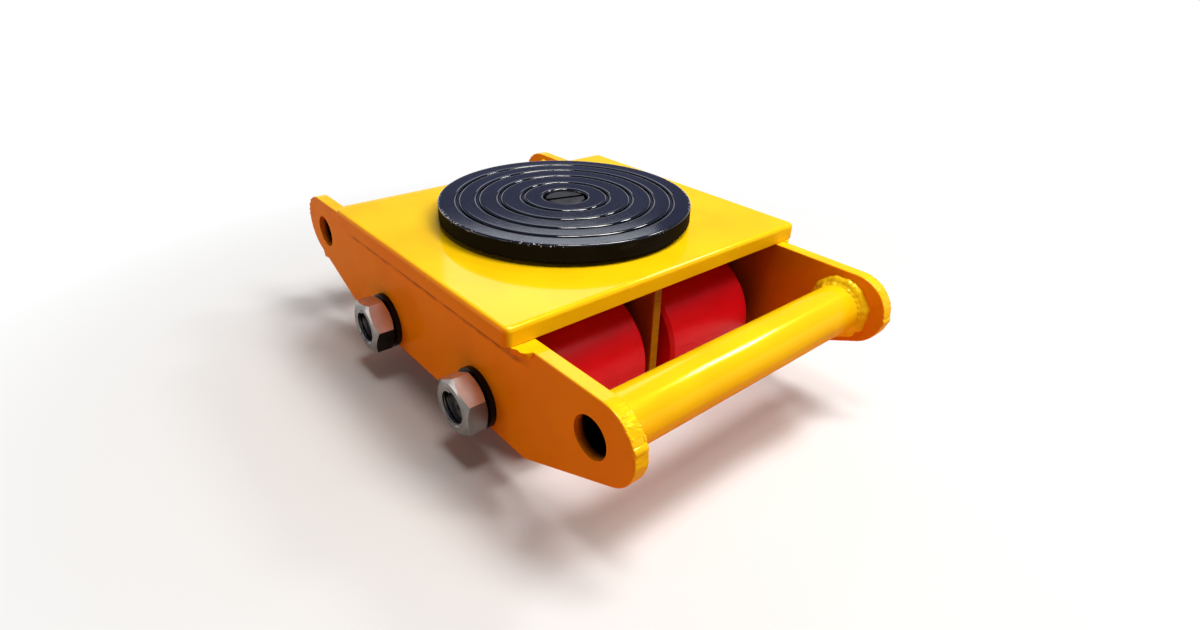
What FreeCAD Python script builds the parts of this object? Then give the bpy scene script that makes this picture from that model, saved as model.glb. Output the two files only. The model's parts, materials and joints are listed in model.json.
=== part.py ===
import FreeCAD, Part
import math
import os
import re
import Sketcher

# Machine skate: a low welded trolley on four rollers, with a swivel disc that carries the load.
# Origin on the floor under the middle, +X to the front, +Y to the left, +Z up, in millimetres.

SIZES = {
    # Rollers, and the room round them
    "roller_diameter": 72,
    "roller_width": 69,
    "roller_edge_chamfer": 2,
    "roller_top_gap": 15.5,
    "roller_web_gap": 7,
    "roller_side_gap": 10.5,
    # Axles
    "axle_diameter": 20,
    "axle_spacing": 103,
    "axle_end_recess": 4,
    "axle_end_chamfer": 1.5,
    "axle_centre_diameter": 6,
    # Welded frame
    "plate_length": 185,
    "plate_overhang": 8.5,
    "plate_thickness": 10,
    "plate_corner_radius": 4,
    "plate_edge_radius": 2.5,
    "cut_edge_radius": 0.8,
    "side_thickness": 8,
    "side_below_axle": 14.7,
    "side_foot_length": 184,
    "ear_radius": 20.3,
    "ear_centre_spacing": 293,
    "tow_hole_diameter": 21,
    "tow_hole_spacing": 280,
    "tow_hole_drop": 22,
    "tube_diameter": 28,
    "web_length": 164,
    "web_thickness": 6,
    "seam_weld_leg": 5,
    "seam_weld_runout": 7.5,
    "web_weld_leg": 4,
    "tube_weld_leg": 4.5,
    # Swivel disc and its pivot
    "disc_diameter": 150,
    "disc_thickness": 10.5,
    "disc_rim_chamfer": 0.8,
    "disc_groove_width": 1.8,
    "disc_groove_depth": 1.5,
    "disc_lip_radius": 0.5,
    "disc_recess_depth": 5.6,
    "disc_end_play": 0.2,
    "thrust_washer_diameter": 112,
    "thrust_washer_thickness": 2.2,
    "pivot_diameter": 16,
    "pivot_bush_wall": 2,
    "pivot_head_lip": 2,
    "pivot_head_height": 4.4,
    "pivot_head_chamfer": 0.8,
    "pivot_slot_width": 3,
    "pivot_slot_depth": 2.2,
    "pivot_recess_gap": 1.5,
    # Axle nuts and washers
    "nut_across_flats": 30,
    "nut_height": 13,
    "nut_face_diameter": 27.5,
    "nut_mouth_chamfer": 0.6,
    "nut_chamfer_degrees": 30,
    "washer_thickness": 3,
    "washer_wall": 7,
    # Ball bearings
    "bearing_section": 13.5,
    "bearing_width": 14,
    "bearing_inset": 4,
    "inner_ring_wall": 4.4,
    "outer_ring_wall": 4.15,
    "ball_diameter": 7.9,
    "cage_wall": 3,
    "cage_width": 10.5,
    "seal_thickness": 1.1,
    "seat_shoulder": 3,
    "sleeve_wall": 3,
    "spacer_wall": 4,
    # Retaining rings
    "clip_groove_depth": 1.25,
    "clip_thickness": 1.75,
    "clip_width": 4,
    "clip_gap": 12,
    # Clearances
    "slip_clearance": 0.05,
    "thread_clearance": 0.02,
    "running_clearance": 0.05,
    "seal_clearance": 0.2,
    "clip_clearance": 0.1,
    "cut_overrun": 5,
}

# The disc's concentric grooves, as shares of its radius
GROOVE_SHARES = (0.341, 0.524, 0.694, 0.85)

BALLS_PER_BEARING = 8
BALL_ANGLES = [360 * index / BALLS_PER_BEARING for index in range(BALLS_PER_BEARING)]
SIDES_PER_NUT = 6

# Levels closer than this are the same level
SAME_LEVEL = 1e-6

# How far each axle nut, the pivot screw's slot and the retaining rings' gaps are turned from +X, in degrees
NUT_TURNS = {("front", "left"): 41, ("front", "right"): 27, ("rear", "left"): 19, ("rear", "right"): 8}
PIVOT_SLOT_TURN = 75
CLIP_TURN = 40

ENDS = {"front": 1, "rear": -1}
SIDES = {"left": 1, "right": -1}

X_AXIS = FreeCAD.Vector(1, 0, 0)
Y_AXIS = FreeCAD.Vector(0, 1, 0)
Z_AXIS = FreeCAD.Vector(0, 0, 1)

# Levels above the floor
AXLE_Z = "(roller_diameter / 2)"
PLATE_UNDER = "(roller_diameter + roller_top_gap)"
PLATE_TOP = f"({PLATE_UNDER} + plate_thickness)"
DISC_UNDER = f"({PLATE_TOP} + thrust_washer_thickness)"
SIDE_FOOT = f"({AXLE_Z} - side_below_axle)"
TOW_Z = f"({PLATE_UNDER} - tow_hole_drop)"

# Distances from the middle plane, outwards along an axle
WEB_FACE = "(web_thickness / 2)"
ROLLER_NEAR = f"({WEB_FACE} + roller_web_gap)"
ROLLER_MIDDLE = f"({ROLLER_NEAR} + roller_width / 2)"
ROLLER_FAR = f"({ROLLER_NEAR} + roller_width)"
SIDE_INNER = f"({ROLLER_FAR} + roller_side_gap)"
SIDE_OUTER = f"({SIDE_INNER} + side_thickness)"
WASHER_OUTER = f"({SIDE_OUTER} + washer_thickness)"
NUT_OUTER = f"({WASHER_OUTER} + nut_height)"
AXLE_END = f"({NUT_OUTER} - axle_end_recess)"

# Radii shared by pieces that fit each other
AXLE_R = "(axle_diameter / 2)"
ON_AXLE_R = f"({AXLE_R} + slip_clearance)"
BEARING_R = f"({AXLE_R} + bearing_section)"
PITCH_R = f"({AXLE_R} + bearing_section / 2)"
INNER_SHOULDER_R = f"({AXLE_R} + inner_ring_wall)"
OUTER_SHOULDER_R = f"({BEARING_R} - outer_ring_wall)"
BALL_R = "(ball_diameter / 2)"
CLIP_GROOVE_R = f"({BEARING_R} + clip_groove_depth)"
TOW_R = "(tow_hole_diameter / 2)"
TUBE_R = "(tube_diameter / 2)"
PIVOT_R = "(pivot_diameter / 2)"
BUSH_R = f"({PIVOT_R} + pivot_bush_wall)"
ON_BUSH_R = f"({BUSH_R} + running_clearance)"
HEAD_R = f"({BUSH_R} + pivot_head_lip)"

# Distances of a bearing's middle and outer face from its roller's middle
BEARING_OFFSET = "(roller_width / 2 - bearing_inset - bearing_width / 2)"
BEARING_FACE = "(roller_width / 2 - bearing_inset)"

doc = FreeCAD.newDocument("machine_skate")
dims = doc.addObject("Spreadsheet::Sheet", "dims")
for row, (alias, number) in enumerate(SIZES.items(), 1):
    dims.set(f"A{row}", alias)
    dims.set(f"B{row}", str(number))
    dims.setAlias(f"B{row}", alias)
doc.recompute()

pieces = []


def bound(text):
    """The text as an expression on the sheet: each size's name becomes a reference to its cell."""
    return re.sub(r"[a-z]\w*", lambda word: f"dims.{word[0]}" if word[0] in SIZES else word[0], text)


def number_of(text):
    """The present value of an expression."""
    return float(dims.evalExpression(bound(text)))


def bind(thing, **expressions):
    for name, text in expressions.items():
        thing.setExpression(name, bound(text))


def place(thing, x="0", y="0", z="0", turn=None):
    """Puts an object at a bound place, turned by a fixed rotation if one is given."""
    if turn is not None:
        thing.Placement = FreeCAD.Placement(FreeCAD.Vector(), turn)
    for axis, text in (("x", x), ("y", y), ("z", z)):
        thing.setExpression(f"Placement.Base.{axis}", bound(text))
    return thing


def keep(thing, label):
    """Marks an object as a finished piece, which gets a file of its own."""
    thing.Label = label
    pieces.append(thing)
    return thing


def sketch_on(body, role):
    """A sketch on one of the body's own origin planes."""
    sketch = body.newObject("Sketcher::SketchObject", f"{body.Name}_sketch")
    plane = next(feature for feature in body.Origin.OriginFeatures if feature.Role == role)
    sketch.AttachmentSupport = (plane, [""])
    sketch.MapMode = "FlatFace"
    return sketch


def hold(sketch, kind, *where, text):
    """Adds a dimension to the sketch and binds it."""
    index = sketch.addConstraint(Sketcher.Constraint(kind, *where, number_of(text)))
    sketch.setExpression(f"Constraints[{index}]", bound(text))


def hold_point(sketch, geometry, point, across, up):
    """Dimensions one point of the sketch from its origin; a coordinate of "0" lies on the axis itself."""
    for kind, text, axis in (("DistanceX", across, -2), ("DistanceY", up, -1)):
        if text == "0":
            sketch.addConstraint(Sketcher.Constraint("PointOnObject", geometry, point, axis))
        else:
            hold(sketch, kind, geometry, point, text=text)


def draw_outline(sketch, corners):
    """A closed outline of straight lines through the corners."""
    spots = [FreeCAD.Vector(number_of(across), number_of(up), 0) for across, up in corners]
    lines = [sketch.addGeometry(Part.LineSegment(spots[i - 1], spots[i])) for i in range(len(spots))]
    for i, line in enumerate(lines):
        sketch.addConstraint(Sketcher.Constraint("Coincident", lines[i - 1], 2, line, 1))
    for line, (across, up) in zip(lines, corners):
        hold_point(sketch, line, 2, across, up)


def draw_circle(sketch, radius, across="0", up="0"):
    middle = FreeCAD.Vector(number_of(across), number_of(up), 0)
    circle = sketch.addGeometry(Part.Circle(middle, Z_AXIS, number_of(radius)))
    hold_point(sketch, circle, 3, across, up)
    hold(sketch, "Radius", circle, text=radius)


def turned(name, section, role="XY_Plane"):
    """A body turned from its half section, given as (radius, height) corners.

    On XY_Plane the section's height runs along Y, on XZ_Plane along Z.
    """
    body = doc.addObject("PartDesign::Body", name)
    sketch = sketch_on(body, role)
    draw_outline(sketch, section)
    turning = body.newObject("PartDesign::Revolution", f"{name}_turning")
    turning.Profile = sketch
    turning.ReferenceAxis = (sketch, ["V_Axis"])
    return body


def ring(name, inner, outer, width, role="XY_Plane"):
    """A plain turned ring, centred on its own origin."""
    half = f"(({width}) / 2)"
    section = [(inner, f"-{half}"), (outer, f"-{half}"), (outer, half), (inner, half)]
    return turned(name, section, role)


def plate(name, role, thickness, draw):
    """A flat body of the drawn outline, its thickness shared by both sides of the sketch plane."""
    body = doc.addObject("PartDesign::Body", name)
    sketch = sketch_on(body, role)
    draw(sketch)
    pad = body.newObject("PartDesign::Pad", f"{name}_pad")
    pad.Profile = sketch
    pad.SideType = "Symmetric"
    bind(pad, Length=thickness)
    return body


def cut(name, base, tool):
    result = doc.addObject("Part::Cut", name)
    result.Base = base
    result.Tool = tool
    return result


def group(label, members):
    """Separate solids that share one file."""
    compound = doc.addObject("Part::Compound", label)
    compound.Links = members
    return keep(compound, label)


def axle_x(end):
    return f"({ENDS[end]} * axle_spacing / 2)"


def tow_x(end):
    return f"({ENDS[end]} * tow_hole_spacing / 2)"


def on_axle(thing, end, y, turn=None):
    return place(thing, axle_x(end), y, AXLE_Z, turn)


def draw_axle_holes(sketch):
    for end in ENDS:
        draw_circle(sketch, ON_AXLE_R, axle_x(end), AXLE_Z)


# Top plate, with the tapped hole for the pivot screw
def top_plate():
    half_length = "(plate_length / 2)"
    half_width = f"({SIDE_OUTER} + plate_overhang)"

    def draw(sketch):
        corners = (("-", "-"), ("", "-"), ("", ""), ("-", ""))
        draw_outline(sketch, [(f"{fore}{half_length}", f"{aside}{half_width}") for fore, aside in corners])
        draw_circle(sketch, f"{PIVOT_R} + thread_clearance")

    body = plate("top_plate", "XY_Plane", "plate_thickness", draw)
    place(body, z=f"{PLATE_UNDER} + plate_thickness / 2")
    doc.recompute()
    round_edges(body, "plate_corners", runs_upwards, "plate_corner_radius")
    round_edges(body, "plate_upper_edge", on_upper_rim, "plate_edge_radius")
    round_edges(body, "plate_lower_edge", on_lower_rim, "cut_edge_radius")
    return keep(body, "top_plate")


def round_edges(body, name, test, radius):
    base = body.Tip
    names = [f"Edge{i}" for i, edge in enumerate(base.Shape.Edges, 1) if test(edge, base.Shape)]
    rounding = body.newObject("PartDesign::Fillet", name)
    rounding.Base = (base, names)
    bind(rounding, Radius=radius)
    doc.recompute()


def runs_upwards(edge, shape):
    """An upright edge of the outline, not the seam of the round hole."""
    upright = same(edge.BoundBox.ZLength, shape.BoundBox.ZLength)
    return upright and math.hypot(edge.CenterOfMass.x, edge.CenterOfMass.y) > number_of("pivot_diameter")


def same(first, second):
    return math.isclose(first, second, abs_tol=SAME_LEVEL)


def is_hole(edge):
    return isinstance(edge.Curve, Part.Circle) and edge.isClosed()


def on_upper_face(edge, shape):
    return same(edge.BoundBox.ZMin, shape.BoundBox.ZMax)


def on_upper_rim(edge, shape):
    """An edge of the upper face, other than the round hole's."""
    return on_upper_face(edge, shape) and not is_hole(edge)


def on_lower_rim(edge, shape):
    """An edge of the lower face, other than the round hole's."""
    return same(edge.BoundBox.ZMax, shape.BoundBox.ZMin) and not is_hole(edge)


def on_flat_sides(edge, shape):
    """An edge of one of an upright plate's two flat faces, other than a round hole's."""
    return same(edge.BoundBox.YLength, 0) and not is_hole(edge)


# Side plates: each end is a round ear, which runs out into a sloping lower edge
def draw_side(sketch):
    radius = number_of("ear_radius")
    ear = FreeCAD.Vector(number_of("ear_centre_spacing / 2"), number_of(PLATE_UNDER) - radius, 0)
    corner = FreeCAD.Vector(number_of("side_foot_length / 2"), number_of(SIDE_FOOT), 0)
    reach = ear - corner
    rise = math.atan2(reach.y, reach.x) - math.asin(radius / reach.Length)
    below = rise - math.pi / 2
    touch = ear + FreeCAD.Vector(math.cos(below), math.sin(below), 0) * radius
    ear_top = ear + Y_AXIS * radius

    def mirrored(spot):
        return FreeCAD.Vector(-spot.x, spot.y, 0)

    def arc(middle, start, stop):
        return Part.ArcOfCircle(Part.Circle(middle, Z_AXIS, radius), start, stop)

    upper = sketch.addGeometry(Part.LineSegment(mirrored(ear_top), ear_top))
    front = sketch.addGeometry(arc(ear, below, math.pi / 2))
    front_slope = sketch.addGeometry(Part.LineSegment(touch, corner))
    foot = sketch.addGeometry(Part.LineSegment(corner, mirrored(corner)))
    rear_slope = sketch.addGeometry(Part.LineSegment(mirrored(corner), mirrored(touch)))
    rear = sketch.addGeometry(arc(mirrored(ear), math.pi / 2, math.pi - below))
    for rule in (
        ("Tangent", upper, 2, front, 2),
        ("Tangent", front, 1, front_slope, 1),
        ("Coincident", front_slope, 2, foot, 1),
        ("Coincident", foot, 2, rear_slope, 1),
        ("Tangent", rear_slope, 2, rear, 2),
        ("Tangent", rear, 1, upper, 1),
        ("Equal", front, rear),
        ("Symmetric", front, 3, rear, 3, -2),
        ("Symmetric", foot, 1, foot, 2, -2),
    ):
        sketch.addConstraint(Sketcher.Constraint(*rule))
    hold(sketch, "Radius", front, text="ear_radius")
    hold(sketch, "DistanceX", front, 3, text="ear_centre_spacing / 2")
    hold(sketch, "DistanceY", upper, 2, text=PLATE_UNDER)
    hold_point(sketch, foot, 1, "side_foot_length / 2", SIDE_FOOT)
    for end in ENDS:
        draw_circle(sketch, TOW_R, tow_x(end), TOW_Z)
    draw_axle_holes(sketch)


def side_plate(side):
    label = f"{side}_side_plate"
    body = plate(label, "XZ_Plane", "side_thickness", draw_side)
    doc.recompute()
    round_edges(body, f"{side}_cut_edges", on_flat_sides, "cut_edge_radius")
    return keep(place(body, y=f"{SIDES[side]} * ({SIDE_INNER} + side_thickness / 2)"), label)


def centre_web():
    half = "(web_length / 2)"

    def draw(sketch):
        rear = f"-{half}"
        draw_outline(sketch, [(rear, SIDE_FOOT), (half, SIDE_FOOT), (half, PLATE_UNDER), (rear, PLATE_UNDER)])
        draw_axle_holes(sketch)

    body = plate("centre_web", "XZ_Plane", "web_thickness", draw)
    doc.recompute()
    round_edges(body, "web_cut_edges", on_flat_sides, "cut_edge_radius")
    return keep(body, "centre_web")


def tie_tube(end):
    label = f"{end}_tie_tube"
    body = ring(label, TOW_R, TUBE_R, f"2 * {SIDE_INNER}")
    return keep(place(body, tow_x(end), "0", TOW_Z), label)


# Weld beads: quarter-round seams along X under the top plate, and tapered rings round the tube ends
def seam(name, leg, length, y, aside):
    """A bead in the corner under the top plate, on the side of y that aside points to."""
    bead = doc.addObject("Part::Cylinder", name)
    bead.Angle = 90
    bind(bead, Radius=leg, Height=length)
    first, second = (-Z_AXIS, Y_AXIS) if aside > 0 else (-Y_AXIS, -Z_AXIS)
    return place(bead, f"-({length}) / 2", y, PLATE_UNDER, FreeCAD.Rotation(first, second, X_AXIS))


def plate_weld_beads():
    beads = []
    for side, sign in SIDES.items():
        for where, leg, length, y, aside in (
            ("outer", "seam_weld_leg", "plate_length + 2 * seam_weld_runout", SIDE_OUTER, sign),
            ("inner", "seam_weld_leg", "plate_length", SIDE_INNER, -sign),
            ("web", "web_weld_leg", "web_length", WEB_FACE, sign),
        ):
            beads.append(seam(f"{side}_{where}_seam", leg, length, f"{sign} * {y}", aside))
    return group("plate_weld_beads", beads)


def tube_weld_beads():
    toe = f"({TUBE_R} + tube_weld_leg)"
    beads = []
    for end in ENDS:
        for side, sign in SIDES.items():
            section = [(TUBE_R, "0"), (toe, "0"), (TUBE_R, f"{-sign} * tube_weld_leg")]
            bead = turned(f"{end}_{side}_tube_weld", section)
            beads.append(place(bead, tow_x(end), f"{sign} * {SIDE_INNER}", TOW_Z))
    return group("tube_weld_beads", beads)


# Swivel disc on its thrust washer, held down by a slotted pivot screw through a bush
def swivel_disc():
    rim = "(disc_diameter / 2)"
    recess = f"({HEAD_R} + pivot_recess_gap)"
    recess_floor = "(disc_thickness - disc_recess_depth)"
    groove_floor = "(disc_thickness - disc_groove_depth)"
    section = [(ON_BUSH_R, "0"), (f"{rim} - disc_rim_chamfer", "0"), (rim, "disc_rim_chamfer"),
               (rim, "disc_thickness - disc_rim_chamfer"), (f"{rim} - disc_rim_chamfer", "disc_thickness")]
    for share in reversed(GROOVE_SHARES):
        outer = f"({share} * {rim} + disc_groove_width / 2)"
        inner = f"({share} * {rim} - disc_groove_width / 2)"
        section += [(outer, "disc_thickness"), (outer, groove_floor)]
        section += [(inner, groove_floor), (inner, "disc_thickness")]
    section += [(recess, "disc_thickness"), (recess, recess_floor), (ON_BUSH_R, recess_floor)]
    body = turned("swivel_disc", section, "XZ_Plane")
    doc.recompute()
    round_edges(body, "disc_lips", on_upper_face, "disc_lip_radius")
    return keep(place(body, z=DISC_UNDER), "swivel_disc")


def pivot():
    bush_length = "(thrust_washer_thickness + disc_thickness - disc_recess_depth + disc_end_play)"
    head_top = f"({bush_length} + pivot_head_height)"
    washer_r = "(thrust_washer_diameter / 2)"
    washer = ring("thrust_washer", ON_BUSH_R, washer_r, "thrust_washer_thickness", "XZ_Plane")
    keep(place(washer, z=f"{PLATE_TOP} + thrust_washer_thickness / 2"), "thrust_washer")
    bush = ring("pivot_bush", f"{PIVOT_R} + slip_clearance", BUSH_R, bush_length, "XZ_Plane")
    keep(place(bush, z=f"{PLATE_TOP} + {bush_length} / 2"), "pivot_bush")
    section = [("0", "-plate_thickness"), (PIVOT_R, "-plate_thickness"), (PIVOT_R, bush_length),
               (HEAD_R, bush_length), (HEAD_R, f"{head_top} - pivot_head_chamfer"),
               (f"{HEAD_R} - pivot_head_chamfer", head_top), ("0", head_top)]
    blank = turned("pivot_screw_blank", section, "XZ_Plane")
    half_slot = f"({HEAD_R} + cut_overrun)"
    slot = doc.addObject("Part::Box", "pivot_screw_slot")
    bind(slot, Length=f"2 * {half_slot}", Width="pivot_slot_width", Height="pivot_slot_depth + cut_overrun")
    place(slot, f"-{half_slot}", "-pivot_slot_width / 2", f"{head_top} - pivot_slot_depth")
    screw = cut("pivot_screw", blank, slot)
    keep(place(screw, z=PLATE_TOP, turn=FreeCAD.Rotation(Z_AXIS, PIVOT_SLOT_TURN)), "pivot_screw")


# Axles, with their nuts, washers and spacers
def axle(end):
    """A plain shaft with chamfered, centre-drilled ends."""
    label = f"{end}_axle"
    tip = f"({AXLE_R} - axle_end_chamfer)"
    shoulder = f"({AXLE_END} - axle_end_chamfer)"
    centre = "(axle_centre_diameter / 2)"
    centre_floor = f"({AXLE_END} - {centre} * sqrt(3))"
    upper = [(AXLE_R, shoulder), (tip, AXLE_END), (centre, AXLE_END), ("0", centre_floor)]
    lower = [(radius, f"-{height}") for radius, height in reversed(upper)]
    return keep(on_axle(turned(label, upper + lower), end, "0"), label)


def axle_nut(end, side):
    """A hexagon nut standing on its washer, with both faces and the bore's outer mouth chamfered."""
    name = f"{end}_{side}_nut"
    sign = SIDES[side]
    turn = FreeCAD.Rotation(Y_AXIS, -NUT_TURNS[end, side]) * FreeCAD.Rotation(X_AXIS, -90 * sign)
    base = f"{sign} * {WASHER_OUTER}"
    bore = f"({AXLE_R} + thread_clearance)"
    face = "(nut_face_diameter / 2)"
    flare = f"({face} + nut_height / tan(nut_chamfer_degrees))"

    def blank(kind, what, y, **sizes):
        thing = doc.addObject(kind, f"{name}_{what}")
        bind(thing, **sizes)
        return on_axle(thing, end, y, turn)

    corner = "nut_across_flats / sqrt(3)"
    hexagon = blank("Part::Prism", "hexagon", base, Circumradius=corner, Height="nut_height")
    hexagon.Polygon = SIDES_PER_NUT
    inward = blank("Part::Cone", "inner_face", base, Radius1=face, Radius2=flare, Height="nut_height")
    outward = blank("Part::Cone", "outer_face", base, Radius1=flare, Radius2=face, Height="nut_height")
    body = doc.addObject("Part::MultiCommon", f"{name}_body")
    body.Shapes = [hexagon, inward, outward]
    hole = blank("Part::Cylinder", "bore", base, Radius=bore, Height="nut_height")
    mouth = blank("Part::Cone", "mouth", f"{sign} * ({NUT_OUTER} - nut_mouth_chamfer)", Radius1=bore,
                  Radius2=f"{bore} + nut_mouth_chamfer", Height="nut_mouth_chamfer")
    return cut(name, cut(f"{name}_bored", body, hole), mouth)


def rings_on_axles(label, wall, near, far):
    """The same ring at all four corners, from one distance to another off the middle plane."""
    members = []
    for end in ENDS:
        for side, sign in SIDES.items():
            piece = ring(f"{end}_{side}_{label}", ON_AXLE_R, f"{AXLE_R} + {wall}", f"{far} - {near}")
            members.append(on_axle(piece, end, f"{sign} * ({near} + {far}) / 2"))
    return group(label, members)


def axle_fittings():
    group("axle_nuts", [axle_nut(end, side) for end in ENDS for side in SIDES])
    rings_on_axles("axle_washers", "washer_wall", SIDE_OUTER, WASHER_OUTER)
    rings_on_axles("outer_spacers", "spacer_wall", f"({ROLLER_FAR} - bearing_inset)", SIDE_INNER)
    rings_on_axles("inner_spacers", "spacer_wall", WEB_FACE, f"({ROLLER_NEAR} + bearing_inset)")


# Rollers, each on two sealed ball bearings that retaining rings keep in
def roller(end, side):
    label = f"{end}_{side}_roller"
    rim = "(roller_diameter / 2)"
    half = "(roller_width / 2)"
    bore = f"({BEARING_R} - seat_shoulder)"
    seat = f"({BEARING_FACE} - bearing_width)"
    groove_end = f"({BEARING_FACE} + clip_thickness + clip_clearance)"
    upper = [(bore, seat), (BEARING_R, seat), (BEARING_R, BEARING_FACE), (CLIP_GROOVE_R, BEARING_FACE),
             (CLIP_GROOVE_R, groove_end), (BEARING_R, groove_end), (BEARING_R, half),
             (f"{rim} - roller_edge_chamfer", half), (rim, f"{half} - roller_edge_chamfer")]
    lower = [(radius, f"-({height})") for radius, height in reversed(upper)]
    return keep(on_axle(turned(label, upper + lower), end, f"{SIDES[side]} * {ROLLER_MIDDLE}"), label)


def race(name, inner, outer):
    """A bearing ring with its ball groove, centred on its own origin."""
    groove = doc.addObject("Part::Torus", f"{name}_groove")
    bind(groove, Radius1=PITCH_R, Radius2=f"{BALL_R} + running_clearance")
    place(groove, turn=FreeCAD.Rotation(X_AXIS, 90))
    return cut(name, ring(f"{name}_blank", inner, outer, "bearing_width"), groove)


def ball_circle(name, end, y):
    """The balls of one bearing, on their pitch circle round the axle."""
    balls = []
    for angle in BALL_ANGLES:
        ball = doc.addObject("Part::Sphere", name)
        bind(ball, Radius=BALL_R)
        x = f"{axle_x(end)} + {PITCH_R} * cos({angle})"
        balls.append(place(ball, x, y, f"{AXLE_Z} + {PITCH_R} * sin({angle})"))
    return balls


def cage(name):
    """A ring with a drilled pocket for each ball, centred on its own origin."""
    blank = ring(f"{name}_blank", f"{PITCH_R} - cage_wall / 2", f"{PITCH_R} + cage_wall / 2", "cage_width")
    start = f"({PITCH_R} - cage_wall)"
    drills = []
    for angle in BALL_ANGLES:
        drill = doc.addObject("Part::Cylinder", f"{name}_pocket")
        bind(drill, Radius=f"{BALL_R} + running_clearance", Height="2 * cage_wall")
        outward = FreeCAD.Rotation(Y_AXIS, 90 - angle)
        drills.append(place(drill, f"{start} * cos({angle})", "0", f"{start} * sin({angle})", outward))
    pockets = doc.addObject("Part::MultiFuse", f"{name}_pockets")
    pockets.Shapes = drills
    return cut(name, blank, pockets)


def retaining_ring(name):
    """A spring ring with a gap, centred on its own origin."""
    outer = f"({CLIP_GROOVE_R} - clip_clearance)"
    gap = doc.addObject("Part::Box", f"{name}_gap")
    bind(gap, Length=f"{outer} + cut_overrun", Width="clip_thickness + 2 * cut_overrun", Height="clip_gap")
    place(gap, "0", "-clip_thickness / 2 - cut_overrun", "-clip_gap / 2")
    return cut(name, ring(f"{name}_blank", f"{outer} - clip_width", outer, "clip_thickness"), gap)


def bearings(end, side):
    """Both bearings of one roller, the sleeve between them and the rings that keep them in."""
    stem = f"{end}_{side}"
    middle = f"({SIDES[side]} * {ROLLER_MIDDLE})"
    ways = (1, -1)
    middles = [f"({middle} + {way} * {BEARING_OFFSET})" for way in ways]

    def both(what, make):
        group(f"{stem}_{what}", [on_axle(make(f"{stem}_{what}_each"), end, y) for y in middles])

    both("bearing_outer_rings", lambda name: race(name, OUTER_SHOULDER_R, BEARING_R))
    both("bearing_inner_rings", lambda name: race(name, ON_AXLE_R, INNER_SHOULDER_R))
    both("bearing_cages", cage)
    lip = f"({INNER_SHOULDER_R} + seal_clearance)"
    balls = []
    seals = []
    for y in middles:
        balls += ball_circle(f"{stem}_ball", end, y)
        for way in ways:
            seal = ring(f"{stem}_seal", lip, OUTER_SHOULDER_R, "seal_thickness")
            seals.append(on_axle(seal, end, f"{y} + {way} * (bearing_width - seal_thickness) / 2"))
    group(f"{stem}_bearing_balls", balls)
    group(f"{stem}_bearing_seals", seals)
    sleeve_length = f"2 * {BEARING_OFFSET} - bearing_width"
    sleeve = ring(f"{stem}_bearing_sleeve", ON_AXLE_R, f"{AXLE_R} + sleeve_wall", sleeve_length)
    keep(on_axle(sleeve, end, middle), f"{stem}_bearing_sleeve")
    clip_middle = f"({BEARING_FACE} + (clip_thickness + clip_clearance) / 2)"
    clip_turn = FreeCAD.Rotation(Y_AXIS, CLIP_TURN)
    clips = []
    for way in ways:
        clip = retaining_ring(f"{stem}_clip")
        clips.append(on_axle(clip, end, f"{middle} + {way} * {clip_middle}", clip_turn))
    group(f"{stem}_retaining_rings", clips)


top_plate()
for side in SIDES:
    side_plate(side)
centre_web()
for end in ENDS:
    tie_tube(end)
plate_weld_beads()
tube_weld_beads()
swivel_disc()
pivot()
for end in ENDS:
    axle(end)
axle_fittings()
for end in ENDS:
    for side in SIDES:
        roller(end, side)
        bearings(end, side)
doc.recompute()

faults = [thing.Label for thing in doc.Objects if {"Invalid", "Error"} & set(thing.State)]
faults += [piece.Label for piece in pieces if piece.Shape.isNull() or not piece.Shape.isValid()]
if faults:
    raise RuntimeError(f"failed objects: {faults}")

os.makedirs("parts", exist_ok=True)
for piece in pieces:
    piece.Shape.exportStep(f"parts/{piece.Label}.step")
    print(piece.Label, len(piece.Shape.Solids), "solids,", round(piece.Shape.Volume), "mm3")
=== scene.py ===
import json
import math
import random

import bpy
from mathutils import Matrix, Vector


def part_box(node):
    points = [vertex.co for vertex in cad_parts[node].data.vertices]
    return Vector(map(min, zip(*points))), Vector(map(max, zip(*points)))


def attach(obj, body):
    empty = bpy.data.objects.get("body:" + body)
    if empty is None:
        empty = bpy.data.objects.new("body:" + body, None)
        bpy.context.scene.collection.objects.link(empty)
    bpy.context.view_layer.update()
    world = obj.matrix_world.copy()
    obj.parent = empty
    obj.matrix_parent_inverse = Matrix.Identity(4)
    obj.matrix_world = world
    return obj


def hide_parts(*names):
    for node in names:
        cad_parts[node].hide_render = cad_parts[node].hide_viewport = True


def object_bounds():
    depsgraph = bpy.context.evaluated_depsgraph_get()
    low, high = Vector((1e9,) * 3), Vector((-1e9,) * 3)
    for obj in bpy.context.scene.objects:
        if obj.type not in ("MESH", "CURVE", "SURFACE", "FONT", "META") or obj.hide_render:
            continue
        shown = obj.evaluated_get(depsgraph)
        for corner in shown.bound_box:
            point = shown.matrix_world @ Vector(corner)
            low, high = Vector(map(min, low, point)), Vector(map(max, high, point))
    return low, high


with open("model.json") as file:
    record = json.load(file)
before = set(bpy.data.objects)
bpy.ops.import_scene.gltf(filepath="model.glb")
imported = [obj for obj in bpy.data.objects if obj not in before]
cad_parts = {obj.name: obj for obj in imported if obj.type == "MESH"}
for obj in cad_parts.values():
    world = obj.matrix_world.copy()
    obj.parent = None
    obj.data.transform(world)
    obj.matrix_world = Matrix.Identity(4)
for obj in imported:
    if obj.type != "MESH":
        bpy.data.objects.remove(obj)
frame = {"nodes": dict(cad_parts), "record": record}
cad_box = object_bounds()

# Machine skate: a welded frame in glossy yellow enamel, red rollers and a black swivel disc.
# Lengths are in metres, in the part's own frame: +X to the front, +Y to the left, +Z up.

MM = 0.001

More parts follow.
